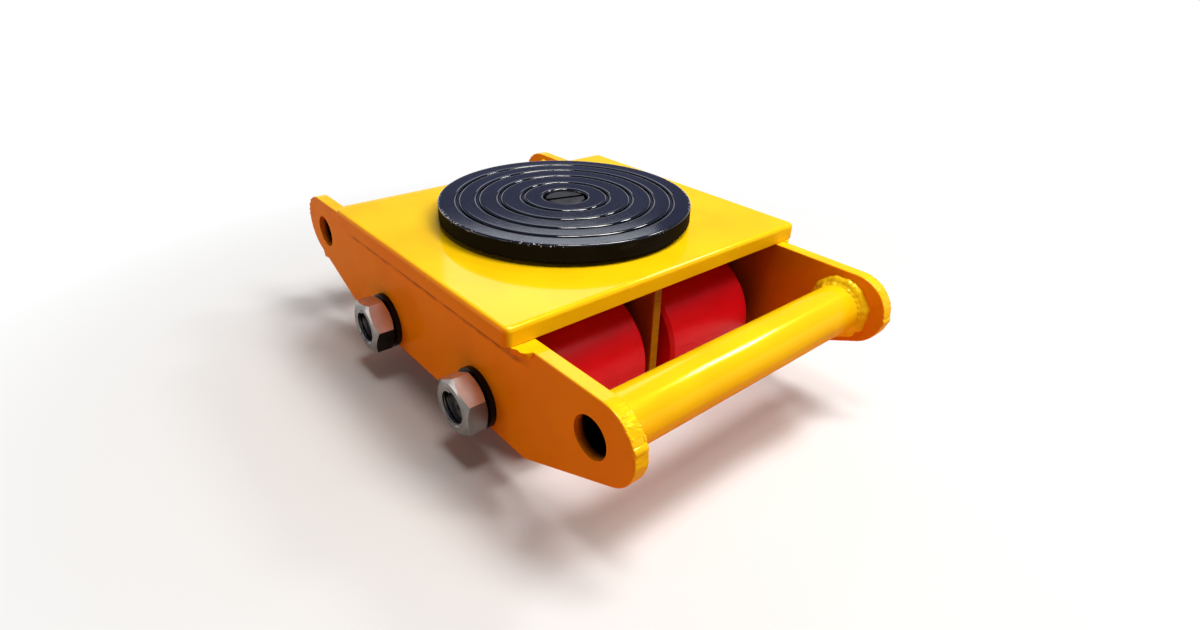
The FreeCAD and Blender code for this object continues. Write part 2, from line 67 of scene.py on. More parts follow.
# Camera, fitted to a picture of 1200 by 630 pixels
CAMERA_AIM = Vector((0.1070, -0.0646, 0.0975))
CAMERA_AZIMUTH = math.radians(48.18)
CAMERA_ELEVATION = math.radians(29.04)
CAMERA_ROLL = math.radians(1.99)
CAMERA_DISTANCE = 0.3010
CAMERA_LENS = 20.12
CAMERA_SENSOR = 36.0
CAMERA_NEAR = 0.01
CAMERA_FAR = 100.0

# Smooth shading below an angle, points that merge, and how exact a cut is
SMOOTH_ANGLE = math.radians(40)
MERGE_GAP = 0.001 * MM
CUT_GAP = 0.0001 * MM

ENDS = {"front": 1, "rear": -1}
SIDES = {"left": 1, "right": -1}

# Places on the CAD nodes that the new pieces follow
PLATE_LOW, PLATE_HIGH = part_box("top_plate")
SIDE_LOW, SIDE_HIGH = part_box("left_side_plate")
TUBE_LOW, TUBE_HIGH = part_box("front_tie_tube")
WEB_LOW, WEB_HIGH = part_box("centre_web")
AXLE_LOW, AXLE_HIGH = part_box("front_axle")
BUSH_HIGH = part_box("pivot_bush")[1]
DISC_LOW, DISC_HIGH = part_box("swivel_disc")
SEAM_LOW, SEAM_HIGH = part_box("plate_weld_beads")
TUBE_MIDDLE = (TUBE_LOW + TUBE_HIGH) / 2
TUBE_RADIUS = (TUBE_HIGH.z - TUBE_LOW.z) / 2
AXLE_MIDDLE = (AXLE_LOW + AXLE_HIGH) / 2
AXLE_RADIUS = (AXLE_HIGH.z - AXLE_LOW.z) / 2
DISC_RADIUS = DISC_HIGH.x
TOW_BORE_RADIUS = 10.5 * MM

# Turned disc: grooves at shares of its radius, with lips that thick paint rounds
GROOVE_SHARES = (0.85, 0.694, 0.524, 0.341)
GROOVE_WIDTH = 1.8 * MM
GROOVE_DEPTH = 1.5 * MM
LIP_RADIUS = 1.5 * MM
LIP_TURN = math.radians(60)
LIP_STEPS = 5
LIP_HOLD = 0.3 * MM
RIM_RADIUS = 1.0 * MM
RIM_STEPS = 4
RECESS_RADIUS = 13.5 * MM
RECESS_DEPTH = 5.6 * MM
BUSH_CLEARANCE = 0.05 * MM
DISC_STEPS = 180

# Weld beads: how far apart the drops lie, how much they differ, and how finely they melt together
SEAM_SEED = 5
SEAM_LEG = PLATE_LOW.z - SEAM_LOW.z
WEB_LEG = 4 * MM
DROP_SUBDIVISIONS = 3
DROP_STEP = 2.6 * MM
DROP_FLATNESS = 0.8
DROP_SPREAD = 0.14
DROP_WANDER = 0.35 * MM
MELT_GRID = 0.5 * MM
MELT_SMOOTHING = 4
MELT_FACTOR = 0.5
WELD_SINK = 0.2 * MM
INNER_STOP = 8 * MM
RING_SEED = 11
RING_OFFSET = 0.6 * MM
RING_STEP = 3.2 * MM
RING_FLATNESS = 1.15
RING_REACH = (0.9, 1.2)
RING_SMOOTHING = 9
RING_DROP = 3.7 * MM
RING_SPREAD = 0.18
RING_SPILL = 1.2 * MM
NECK_DROP = 2.6 * MM
NECK_SINK = 0.5 * MM
NECK_REACH = 2.3
NECK_SPREAD = (0.85, 1.15)

# Steps and lumps on the ears' rims
EAR_RADIUS = 20.3 * MM
EAR_MIDDLE = Vector((SIDE_HIGH.x - EAR_RADIUS, 0, SIDE_HIGH.z - EAR_RADIUS))
RIDGE_ANGLES = {
    ("front", "right"): math.radians(18),
    ("front", "left"): math.radians(-5),
    ("rear", "left"): math.radians(-40),
}
RIDGE_OUT = 18.0 * MM
RIDGE_RADIUS = 3.0 * MM
RIDGE_BEVEL = 0.6 * MM
RIDGE_SIDES = 32
TOOTH_ANGLE = math.radians(-85.5)
TOOTH_OUT = 20.4 * MM
TOOTH_RADIUS = 4.9 * MM
TOOTH_BEVEL = 0.35 * MM
TOOTH_SIDES = 4
TOOTH_TILT = math.radians(9)
TOOTH_TURN = math.pi / TOOTH_SIDES - TOOTH_TILT
STEP_INSET = 0.1 * MM
STEP_SEGMENTS = 3
LUMP_SEED = 23
LUMPS_PER_EAR = 46
LUMP_ANGLES = (math.radians(-25), math.radians(62))
LUMP_SIZES = (1.2 * MM, 2.6 * MM)
LUMP_PROUD = (0.05 * MM, 0.5 * MM)
CORNER_LUMPS_PER_EAR = 6
CORNER_LUMP_SIZES = (0.7 * MM, 1.3 * MM)
CORNER_SINK = 0.62
LUMP_GRID = 0.3 * MM

# Thread that shows in the nuts beyond the axle's ends
THREAD_PITCH = 1.5 * MM
THREAD_TURNS = 2
THREAD_DEPTH = 0.9 * MM
THREAD_CORNERS = 3
THREAD_STEPS = 72


def deselect():
    bpy.ops.object.select_all(action="DESELECT")


def take(piece):
    """Makes a piece the only selected and the active one."""
    deselect()
    piece.select_set(True)
    bpy.context.view_layer.objects.active = piece


def keep_place():
    """Puts the selected piece's place, turn and scale into its mesh."""
    bpy.ops.object.transform_apply(location=True, rotation=True, scale=True)


def edit_all():
    """Opens the active piece for editing, with all of it selected."""
    bpy.ops.object.mode_set(mode="EDIT")
    bpy.ops.mesh.select_all(action="SELECT")


def leave_editing():
    bpy.ops.object.mode_set(mode="OBJECT")


def settle(piece, name, body="frame"):
    """Names a finished piece, puts its place into its mesh and lets it ride on a body."""
    take(piece)
    keep_place()
    piece.name = name
    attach(piece, body)
    return piece


def apply_modifier(piece, kind, **settings):
    """Adds a modifier with its settings and applies it."""
    take(piece)
    modifier = piece.modifiers.new(kind.lower(), kind)
    for key, value in settings.items():
        setattr(modifier, key, value)
    bpy.ops.object.modifier_apply(modifier=modifier.name)


def joined(pieces):
    """Joins several pieces into the first one."""
    take(pieces[0])
    for piece in pieces:
        piece.select_set(True)
    bpy.ops.object.join()
    return bpy.context.object


def cut_flat(piece, spot, outward):
    """Cuts away what lies beyond a plane and closes the cut."""
    take(piece)
    edit_all()
    bpy.ops.mesh.bisect(plane_co=spot, plane_no=outward, use_fill=True,
                        clear_outer=True, threshold=CUT_GAP)
    leave_editing()


def melt(drops, grid=MELT_GRID, smoothing=MELT_SMOOTHING):
    """Melts overlapping weld drops into one bead."""
    bead = joined(drops)
    keep_place()
    apply_modifier(bead, "REMESH", mode="VOXEL", voxel_size=grid)
    apply_modifier(bead, "SMOOTH", factor=MELT_FACTOR, iterations=smoothing)
    return bead


def weld_drop(spot, size, turn=0.0, reach=1.0, flatness=DROP_FLATNESS):
    """One weld drop; turn is about Y, reach stretches it along Y, and flatness along its own bead."""
    deselect()
    bpy.ops.mesh.primitive_ico_sphere_add(subdivisions=DROP_SUBDIVISIONS, radius=size, location=spot,
                                          rotation=(0, turn, 0), scale=(flatness, reach, 1))
    return bpy.context.object


def uneven(chance, size):
    """A drop's size, a little more or less."""
    return size * (1 + chance.uniform(-DROP_SPREAD, DROP_SPREAD))


# Seams under the top plate, along the side plates and the web
def seam_drops(chance, start, stop, y, leg):
    """A row of drops along X, in the corner under the plate."""
    count = round((stop - start) / DROP_STEP)
    drops = []
    for index in range(count + 1):
        x = start + (stop - start) * index / count
        wander = chance.uniform(-DROP_WANDER, DROP_WANDER)
        drops.append(weld_drop((x, y + wander, PLATE_LOW.z + wander), uneven(chance, leg)))
    return drops


def seam(chance, start, stop, y, outward, leg):
    """One bead in the corner under the plate, on the side of y that outward points to."""
    bead = melt(seam_drops(chance, start + leg / 2, stop - leg / 2, y, leg))
    cut_flat(bead, (0, 0, PLATE_LOW.z + WELD_SINK), (0, 0, 1))
    cut_flat(bead, (0, y - outward * WELD_SINK, 0), (0, -outward, 0))
    return bead


def plate_seams():
    """All beads under the top plate; the right outer one runs as far to the front as the solid bead."""
    chance = random.Random(SEAM_SEED)
    beads = []
    for sign in SIDES.values():
        outer, inner, web = sign * SIDE_HIGH.y, sign * SIDE_LOW.y, sign * WEB_HIGH.y
        front = SEAM_HIGH.x if sign == SIDES["right"] else PLATE_HIGH.x
        beads.append(seam(chance, SEAM_LOW.x, front, outer, sign, SEAM_LEG))
        back_stop, front_stop = PLATE_LOW.x + INNER_STOP, PLATE_HIGH.x - INNER_STOP
        beads.append(seam(chance, back_stop, front_stop, inner, -sign, SEAM_LEG))
        beads.append(seam(chance, WEB_LOW.x, WEB_HIGH.x, web, sign, WEB_LEG))
    piece = settle(joined(beads), "plate_seam_welds")
    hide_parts("plate_weld_beads")
    bpy.ops.object.shade_smooth_by_angle(angle=SMOOTH_ANGLE)
    return piece


# Ring beads where the tie tubes meet the side plates
def ring_bead(chance, end, sign):
    """An uneven bead round a tube's end: drops on the side plate, and a neck out along the tube."""
    middle = Vector((end * TUBE_MIDDLE.x, sign * SIDE_LOW.y, TUBE_MIDDLE.z))
    count = round(2 * math.pi * TUBE_RADIUS / RING_STEP)
    drops = []
    for index in range(count):
        angle = 2 * math.pi * index / count
        away = Vector((math.cos(angle), 0, math.sin(angle)))
        turn = math.pi / 2 - angle
        out = TUBE_RADIUS + RING_OFFSET + chance.uniform(0, RING_SPILL)
        size = RING_DROP * (1 - chance.uniform(0, RING_SPREAD))
        reach = chance.uniform(*RING_REACH)
        drops.append(weld_drop(middle + away * out, size, turn, reach, RING_FLATNESS))
        neck = NECK_DROP * (1 - chance.uniform(0, RING_SPREAD))
        inward = middle + away * (TUBE_RADIUS - NECK_SINK)
        reach = NECK_REACH * chance.uniform(*NECK_SPREAD)
        drops.append(weld_drop(inward, neck, turn, reach, RING_FLATNESS))
    bead = melt(drops, smoothing=RING_SMOOTHING)
    cut_flat(bead, (0, sign * (SIDE_LOW.y + WELD_SINK), 0), (0, sign, 0))
    return bead


def tube_rings():
    chance = random.Random(RING_SEED)
    beads = [ring_bead(chance, end, side) for end in ENDS.values() for side in SIDES.values()]
    piece = settle(joined(beads), "tube_ring_welds")
    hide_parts("tube_weld_beads")
    bpy.ops.object.shade_smooth_by_angle(angle=SMOOTH_ANGLE)
    return piece


# Steps that the cutting torch left where it ended its way round each ear
def on_ear(end, across, angle, out):
    """A place on an ear: an angle upwards from straight out, and a distance out from its middle."""
    ahead = EAR_MIDDLE.x + out * math.cos(angle)
    return Vector((end * ahead, across, EAR_MIDDLE.z + out * math.sin(angle)))


def ear_step(spot, radius, sides, turn, bevel):
    """A bar across the ear's rim, sunk into it and as wide as the plate; turn is about its own length."""
    deselect()
    width = SIDE_HIGH.y - SIDE_LOW.y - 2 * STEP_INSET
    bpy.ops.mesh.primitive_cylinder_add(vertices=sides, radius=radius, depth=width,
                                        location=spot, rotation=(math.pi / 2, turn, 0))
    bar = bpy.context.object
    keep_place()
    apply_modifier(bar, "BEVEL", width=bevel, segments=STEP_SEGMENTS, limit_method="ANGLE")
    return bar


def ear_steps():
    """Low round ridges on three ears, and on the rear right one a square tooth below its arc."""
    across = (SIDE_LOW.y + SIDE_HIGH.y) / 2
    bars = []
    for (end, side), angle in RIDGE_ANGLES.items():
        spot = on_ear(ENDS[end], SIDES[side] * across, angle, RIDGE_OUT)
        bars.append(ear_step(spot, RIDGE_RADIUS, RIDGE_SIDES, 0, RIDGE_BEVEL))
    spot = on_ear(ENDS["rear"], SIDES["right"] * across, TOOTH_ANGLE, TOOTH_OUT)
    bars.append(ear_step(spot, TOOTH_RADIUS, TOOTH_SIDES, TOOTH_TURN, TOOTH_BEVEL))
    piece = settle(joined(bars), "ear_cut_steps")
    bpy.ops.object.shade_smooth_by_angle(angle=SMOOTH_ANGLE)
    return piece


# Lumps of slag and spilt weld on the ears' rims, of which only the tops stand out
def rim_lumps(chance, end, sign):
    """Lumps all over one ear's rim, and smaller ones along its two corners."""
    drops = []
    for _ in range(LUMPS_PER_EAR):
        angle = chance.uniform(*LUMP_ANGLES)
        size = chance.uniform(*LUMP_SIZES)
        out = EAR_RADIUS + chance.uniform(*LUMP_PROUD) - size
        across = sign * chance.uniform(SIDE_LOW.y + size, SIDE_HIGH.y - size)
        drops.append(weld_drop(on_ear(end, across, angle, out), size))
    for face, inward in ((SIDE_LOW.y, 1), (SIDE_HIGH.y, -1)):
        for _ in range(CORNER_LUMPS_PER_EAR):
            angle = chance.uniform(*LUMP_ANGLES)
            size = chance.uniform(*CORNER_LUMP_SIZES)
            across = sign * (face + inward * CORNER_SINK * size)
            drops.append(weld_drop(on_ear(end, across, angle, EAR_RADIUS - CORNER_SINK * size), size))
    return melt(drops, LUMP_GRID)


def ear_rims():
    chance = random.Random(LUMP_SEED)
    lumps = [rim_lumps(chance, end, side) for end in ENDS.values() for side in SIDES.values()]
    piece = settle(joined(lumps), "ear_rim_lumps")
    bpy.ops.object.shade_smooth()
    return piece


# Swivel disc, turned from one section
def lip(edge, groove_side):
    """A rounded lip from the flat land to a groove's wall; groove_side is 1 for a groove further out."""
    width = LIP_RADIUS * math.sin(LIP_TURN)
    points = [(edge - groove_side * (width + LIP_HOLD), DISC_HIGH.z)]
    for step in range(LIP_STEPS + 1):
        turn = LIP_TURN * step / LIP_STEPS
        across = edge - groove_side * (width - LIP_RADIUS * math.sin(turn))
        points.append((across, DISC_HIGH.z - LIP_RADIUS * (1 - math.cos(turn))))
    return points


def disc_section():
    """The disc's half section as radius and height, round from its bore's lower edge."""
    bore = BUSH_HIGH.x + BUSH_CLEARANCE
    points = [
        (bore, DISC_LOW.z),
        (DISC_RADIUS - RIM_RADIUS, DISC_LOW.z),
        (DISC_RADIUS, DISC_LOW.z + RIM_RADIUS),
        (DISC_RADIUS, DISC_HIGH.z - RIM_RADIUS - LIP_HOLD),
    ]
    for step in range(RIM_STEPS + 1):
        turn = math.pi / 2 * step / RIM_STEPS
        across = DISC_RADIUS - RIM_RADIUS * (1 - math.cos(turn))
        points.append((across, DISC_HIGH.z - RIM_RADIUS * (1 - math.sin(turn))))
    points.append((DISC_RADIUS - RIM_RADIUS - LIP_HOLD, DISC_HIGH.z))
    for share in GROOVE_SHARES:
        outer = share * DISC_RADIUS + GROOVE_WIDTH / 2
        inner = share * DISC_RADIUS - GROOVE_WIDTH / 2
        points += lip(outer, -1)
        points += [(outer, DISC_HIGH.z - GROOVE_DEPTH), (inner, DISC_HIGH.z - GROOVE_DEPTH)]
        points += reversed(lip(inner, 1))
    points += lip(RECESS_RADIUS, -1)
    points += [(RECESS_RADIUS, DISC_HIGH.z - RECESS_DEPTH), (bore, DISC_HIGH.z - RECESS_DEPTH)]
    return points


def turned_disc():
    """Draws the section point by point and turns it about the pivot."""
    section = disc_section()
    deselect()
    bpy.ops.mesh.primitive_plane_add(size=MM, location=(0, 0, 0))
    disc = bpy.context.object
    edit_all()
    bpy.ops.mesh.merge(type="CENTER")
    bpy.ops.transform.translate(value=(section[0][0], 0, section[0][1]))
    for (across, height), (next_across, next_height) in zip(section, section[1:] + section[:1]):
        step = (next_across - across, 0, next_height - height)
        bpy.ops.mesh.extrude_vertices_move(TRANSFORM_OT_translate={"value": step})
    bpy.ops.mesh.select_all(action="SELECT")
    bpy.ops.mesh.remove_doubles(threshold=MERGE_GAP)
    leave_editing()
    apply_modifier(disc, "SCREW", axis="Z", angle=2 * math.pi, steps=DISC_STEPS, render_steps=DISC_STEPS,
                   use_merge_vertices=True, merge_threshold=MERGE_GAP)
    edit_all()
    bpy.ops.mesh.normals_make_consistent(inside=False)
    leave_editing()
    piece = settle(disc, "grooved_disc", "turntable")
    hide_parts("swivel_disc")
    bpy.ops.object.shade_smooth_by_angle(angle=SMOOTH_ANGLE)
    return piece


# Thread inside each nut, in front of the axle's end
def thread(x, sign):
    """A ridge with three corners, turned about the axle's line and closed at both ends."""
    deselect()
    start = sign * (AXLE_HIGH.y + THREAD_PITCH / 2)
    bpy.ops.mesh.primitive_circle_add(vertices=THREAD_CORNERS, radius=THREAD_DEPTH,
                                      location=(x, start, AXLE_MIDDLE.z), rotation=(0, math.pi / 2, 0))
    ridge = bpy.context.object
    bpy.ops.object.transform_apply(location=False, rotation=True, scale=False)
    edit_all()
    bpy.ops.transform.translate(value=(0, 0, AXLE_RADIUS))
    leave_editing()
    apply_modifier(ridge, "SCREW", axis="Y", screw_offset=sign * THREAD_PITCH, iterations=THREAD_TURNS,
                   steps=THREAD_STEPS, render_steps=THREAD_STEPS)
    bpy.ops.object.mode_set(mode="EDIT")
    bpy.ops.mesh.select_all(action="DESELECT")
    bpy.ops.mesh.select_non_manifold()
    bpy.ops.mesh.edge_face_add()
    bpy.ops.mesh.select_all(action="SELECT")
    bpy.ops.mesh.normals_make_consistent(inside=False)
    leave_editing()
    keep_place()
    return ridge


def nut_threads():
    ridges = [thread(end * AXLE_MIDDLE.x, side) for end in ENDS.values() for side in SIDES.values()]
    piece = settle(joined(ridges), "nut_threads")
    bpy.ops.object.shade_smooth_by_angle(angle=SMOOTH_ANGLE)
    return piece


# Node helpers: the range that noise mostly fills, and a mix node's sockets for colours
NOISE_LOW = 0.3
NOISE_HIGH = 0.7
FIRST_COLOUR = 6
SECOND_COLOUR = 7
MIXED_COLOUR = 2


def put(tree, socket, value):
    """Links a socket to another one, or sets it to a value; a colour is three numbers."""
    if isinstance(value, bpy.types.NodeSocket):
        tree.links.new(value, socket)
    elif socket.type == "RGBA":
        socket.default_value = (*value, 1)
    else:
        socket.default_value = value


def add(tree, kind, inputs=(), **settings):
    """A shader node with its settings made and its inputs linked or set."""
    made = tree.nodes.new(kind)
    for name, value in settings.items():
        setattr(made, name, value)
    for key, value in dict(inputs).items():
        put(tree, made.inputs[key], value)
    return made


def place(tree, stretch=(1, 1, 1)):
    """Object coordinates, stretched."""
    plain = add(tree, "ShaderNodeTexCoord").outputs["Object"]
    return add(tree, "ShaderNodeMapping", {"Vector": plain, "Scale": stretch}).outputs["Vector"]


def coordinates(tree):
    """The place on the piece, as its X, Y and Z."""
    return add(tree, "ShaderNodeSeparateXYZ", {"Vector": place(tree)}).outputs


def facing(tree):
    """The surface's normal, as its X, Y and Z."""
    normal = add(tree, "ShaderNodeNewGeometry").outputs["Normal"]
    return add(tree, "ShaderNodeSeparateXYZ", {"Vector": normal}).outputs


def grain(tree, scale, detail, stretch=(1, 1, 1)):
    """Noise of about one lump per 1/scale metres."""
    inputs = {"Vector": place(tree, stretch), "Scale": scale, "Detail": detail}
    return add(tree, "ShaderNodeTexNoise", inputs).outputs["Fac"]


def between(tree, value, low, high, first=0.0, last=1.0):
    """The value's range low to high, stretched to first to last."""
    limits = {"Value": value, "From Min": low, "From Max": high, "To Min": first, "To Max": last}
    return add(tree, "ShaderNodeMapRange", limits).outputs["Result"]


def clouds(tree, scale, detail, first=0.0, last=1.0):
    """Noise whose usual range is stretched to first to last."""
    return between(tree, grain(tree, scale, detail), NOISE_LOW, NOISE_HIGH, first, last)


def sums(tree, operation, first, second=0.0):
    """One sum with one or two values."""
    return add(tree, "ShaderNodeMath", {0: first, 1: second}, operation=operation).outputs["Value"]


def size_of(tree, value):
    return sums(tree, "ABSOLUTE", value)


def product(tree, first, *others):
    for other in others:
        first = sums(tree, "MULTIPLY", first, other)
    return first


def shades(tree, share, dark, light):
    """A colour ramp from the dark colour at 0 to the light one at 1."""
    ramp = add(tree, "ShaderNodeValToRGB", {"Fac": share})
    for stop, colour in zip(ramp.color_ramp.elements, (dark, light)):
        stop.color = (*colour, 1)
    return ramp.outputs["Color"]


def mixed(tree, share, first, second):
    """The first colour where share is 0, and the second where it is 1."""
    inputs = {"Factor": share, FIRST_COLOUR: first, SECOND_COLOUR: second}
    return add(tree, "ShaderNodeMix", inputs, data_type="RGBA").outputs[MIXED_COLOUR]


def bumped(tree, height, depth, strength=1.0, below=None):
    inputs = {"Height": height, "Distance": depth, "Strength": strength}
    if below is not None:
        inputs["Normal"] = below
    return add(tree, "ShaderNodeBump", inputs).outputs["Normal"]


def finish_of(name, build):
    """A material whose principled shader the build function fills in."""
    material = bpy.data.materials.new(name)
    material.use_nodes = True
    tree = material.node_tree
    tree.nodes.clear()
    shader = add(tree, "ShaderNodeBsdfPrincipled", build(tree))
    add(tree, "ShaderNodeOutputMaterial", {"Surface": shader.outputs["BSDF"]})
    return material


def distance_from(tree, across, middle, along, height, folded=True):
    """Distance from an axis at two coordinates; folded, it is there on both sides of the middle."""
    here = coordinates(tree)
    first = size_of(tree, here[across]) if folded else here[across]
    first = sums(tree, "SUBTRACT", first, middle)
    second = sums(tree, "SUBTRACT", here[along], height)
    squares = sums(tree, "ADD", product(tree, first, first), product(tree, second, second))
    return sums(tree, "SQRT", squares)


def from_pivot(tree):
    return distance_from(tree, "X", 0.0, "Y", 0.0, folded=False)


def from_axle(tree):
    return distance_from(tree, "X", AXLE_MIDDLE.x, "Z", AXLE_MIDDLE.z)


def from_tube(tree):
    return distance_from(tree, "X", TUBE_MIDDLE.x, "Z", TUBE_MIDDLE.z)


def rings(tree, distance, pitch):
    """Turning marks: a wave along a distance."""
    return sums(tree, "SINE", product(tree, distance, 2 * math.pi / pitch))


# Finishes: noise is given as lumps per metre and detail, and a range as its two ends
# Yellow enamel, glossier on top; on the sides that face left and right it turns a deeper orange, which is
# painted shade
ENAMEL_DEEP = (0.93, 0.54, 0.003)
ENAMEL_LIGHT = (0.97, 0.63, 0.004)
SIDE_SHADE_DEEP = (0.86, 0.245, 0.0015)
SIDE_SHADE_LIGHT = (0.90, 0.29, 0.002)
ENAMEL_MOTTLE = (22, 3)
ENAMEL_WAVES = (55, 2)
WAVE_DEPTH = 0.4 * MM
WAVE_STRENGTH = 0.35
ENAMEL_PEEL = (650, 2)
PEEL_DEPTH = 0.05 * MM
PEEL_STRENGTH = 0.5
ENAMEL_SMEARS = (35, 4)
ENAMEL_ROUGHNESS = (0.16, 0.28)
ENAMEL_METALLIC = 0.08
ENAMEL_COAT_ROUGHNESS = 0.09
ENAMEL_COAT_IOR = 1.42
SIDE_COAT = 0.05
TOP_COAT = 0.65
COAT_FACING = (0.2, 0.8)
EDGE_FACING = (0.7, 0.3)

# Lines that flame cutting leaves on a plate's edges
CUT_LINES = (240, 4)
CUT_STRETCH = (1, 0.4, 1)
CUT_DEPTH = 1.6 * MM
CUT_STRENGTH = 0.8

# Tow bores: yellow near the mouth, and deeper in near black, which is painted shade
BORE_SHADE = (0.006, 0.004, 0.003)
BORE_SHADE_DEPTH = 3.5 * MM
BORE_FADE = 1.5 * MM
BORE_SKIN = (TOW_BORE_RADIUS + 0.5 * MM, TOW_BORE_RADIUS + 0.3 * MM)

# Painted shade on the side plates' outer faces under the top plate's overhang, and between the side plates
OUTER_SKIN = (SIDE_HIGH.y - 0.3 * MM, SIDE_HIGH.y - 0.1 * MM)
INNER_SKIN = (SIDE_LOW.y + 0.3 * MM, SIDE_LOW.y + 0.1 * MM)
OVERHANG_SHADE = (0.17, 0.05, 0.004)
OVERHANG_SHADE_HEIGHTS = (PLATE_LOW.z - 11.6 * MM, PLATE_LOW.z - 10.0 * MM)
OVERHANG_SHADE_ENDS = (PLATE_HIGH.x + 7 * MM, PLATE_HIGH.x - 3 * MM)
OVERHANG_SHADE_WAVES = (160, 3)
OVERHANG_SHADE_WANDER = 0.6 * MM
OVERHANG_SHADE_PATCHES = (90, 3)
OVERHANG_SHADE_PATCH_RANGE = (0.35, 0.6)
OVERHANG_SHADE_SHARES = (0.3, 0.65)
INSIDE_SHADE = (0.14, 0.022, 0.002)
INSIDE_SHARE = 0.78
INSIDE_ENDS = (PLATE_HIGH.x + 35 * MM, PLATE_HIGH.x - 15 * MM)


def bore_wall(tree):
    """1 on the wall of a tow bore, 0 elsewhere."""
    return between(tree, from_tube(tree), *BORE_SKIN)


def bore_shade_mask(tree):
    """1 inside a tow bore deeper than its yellow mouth, where the painted shade goes, 0 elsewhere."""
    deep = SIDE_HIGH.y - BORE_SHADE_DEPTH
    beyond = between(tree, size_of(tree, coordinates(tree)["Y"]), deep + BORE_FADE, deep - BORE_FADE)
    return product(tree, bore_wall(tree), beyond)


def overhang_shade(tree):
    """Painted shade on the side plates' outer faces, in the corner under the top plate."""
    here = coordinates(tree)
    outside = between(tree, size_of(tree, here["Y"]), *OUTER_SKIN)
    under = between(tree, size_of(tree, here["X"]), *OVERHANG_SHADE_ENDS)
    wander = clouds(tree, *OVERHANG_SHADE_WAVES, -OVERHANG_SHADE_WANDER, OVERHANG_SHADE_WANDER)
    high = between(tree, sums(tree, "ADD", here["Z"], wander), *OVERHANG_SHADE_HEIGHTS)
    patchy = between(tree, grain(tree, *OVERHANG_SHADE_PATCHES), *OVERHANG_SHADE_PATCH_RANGE, *OVERHANG_SHADE_SHARES)
    return product(tree, outside, under, high, patchy)


def inside_shade(tree):
    """Painted shade between the side plates, fading out towards the ears."""
    here = coordinates(tree)
    within = between(tree, size_of(tree, here["Y"]), *INNER_SKIN)
    deep = between(tree, size_of(tree, here["X"]), *INSIDE_ENDS, 0.0, INSIDE_SHARE)
    return product(tree, within, deep)


def enamel(cut_plate=False, painted_side_shade=True):
    """Yellow enamel; cut_plate adds cutting lines and painted shade under the top plate and between the
    side plates; the second switch adds the deeper orange side colour, which is painted shade.
    """
    def build(tree):
        face = facing(tree)
        mottle = clouds(tree, *ENAMEL_MOTTLE)
        normal = bumped(tree, grain(tree, *ENAMEL_WAVES), WAVE_DEPTH, WAVE_STRENGTH)
        normal = bumped(tree, grain(tree, *ENAMEL_PEEL), PEEL_DEPTH, PEEL_STRENGTH, normal)
        paint = shades(tree, mottle, ENAMEL_DEEP, ENAMEL_LIGHT)
        edge = between(tree, size_of(tree, face["Y"]), *EDGE_FACING)
        # Faces that look left and right take a deeper orange, which is painted shade; the tow bores' walls
        # keep the yellow.
        if painted_side_shade:
            beyond_side_shade = sums(tree, "SUBTRACT", edge, bore_wall(tree))
            paint = mixed(tree, beyond_side_shade, shades(tree, mottle, SIDE_SHADE_DEEP, SIDE_SHADE_LIGHT), paint)
        if cut_plate:
            lines = product(tree, grain(tree, *CUT_LINES, CUT_STRETCH), edge)
            normal = bumped(tree, lines, CUT_DEPTH, CUT_STRENGTH, normal)
            # A patchy dark band just below the top plate's overhang is painted shade.
            paint = mixed(tree, overhang_shade(tree), paint, OVERHANG_SHADE)
            # Darker between the side plates, which is painted shade.
            paint = mixed(tree, inside_shade(tree), paint, INSIDE_SHADE)
        return {
            # Near black deep in the tow bores, which is painted shade.
            "Base Color": mixed(tree, bore_shade_mask(tree), paint, BORE_SHADE),
            "Roughness": clouds(tree, *ENAMEL_SMEARS, *ENAMEL_ROUGHNESS),
            "Metallic": ENAMEL_METALLIC,
            "Specular IOR Level": 0.0,
            "Coat Weight": between(tree, face["Z"], *COAT_FACING, SIDE_COAT, TOP_COAT),
            "Coat Roughness": ENAMEL_COAT_ROUGHNESS,
            "Coat IOR": ENAMEL_COAT_IOR,
            "Normal": normal,
        }
    return build


# Black enamel on the turned disc, smeared, with faint turning marks, and chips along the rim
DISC_BLACK = (0.002, 0.002, 0.004)
DISC_GREY = (0.005, 0.0055, 0.011)
DISC_SMEARS = (28, 4)
DISC_SMEAR_RANGE = (0.35, 0.7)
DISC_DULLNESS = (60, 5)
DISC_ROUGHNESS = (0.14, 0.26)
TURNING_PITCH = 0.7 * MM
TURNING_DEPTH = 0.002 * MM
TURNING_PATCHES = (90, 2)
DISC_PEEL = (420, 2)
DISC_PEEL_STRENGTH = 0.15
RIM_COAT = 0.06
LAND_COAT = 1.0
LAND_FACING = (0.1, 0.6)
DISC_COAT_ROUGHNESS = 0.08
DISC_COAT_IOR = 1.75
CHIP_GREY = (0.60, 0.61, 0.63)
CHIP_RADII = (DISC_RADIUS - 1.6 * MM, DISC_RADIUS - 0.6 * MM)
CHIP_HEIGHTS = (DISC_HIGH.z - 1.8 * MM, DISC_HIGH.z - 0.9 * MM)
CHIP_FLAKES = (760, 3)
CHIP_FLAKE_RANGE = (0.58, 0.61)
CHIP_PATCHES = (40, 1)
CHIP_PATCH_RANGE = (0.42, 0.52)
CHIP_DEPTH = 0.3 * MM


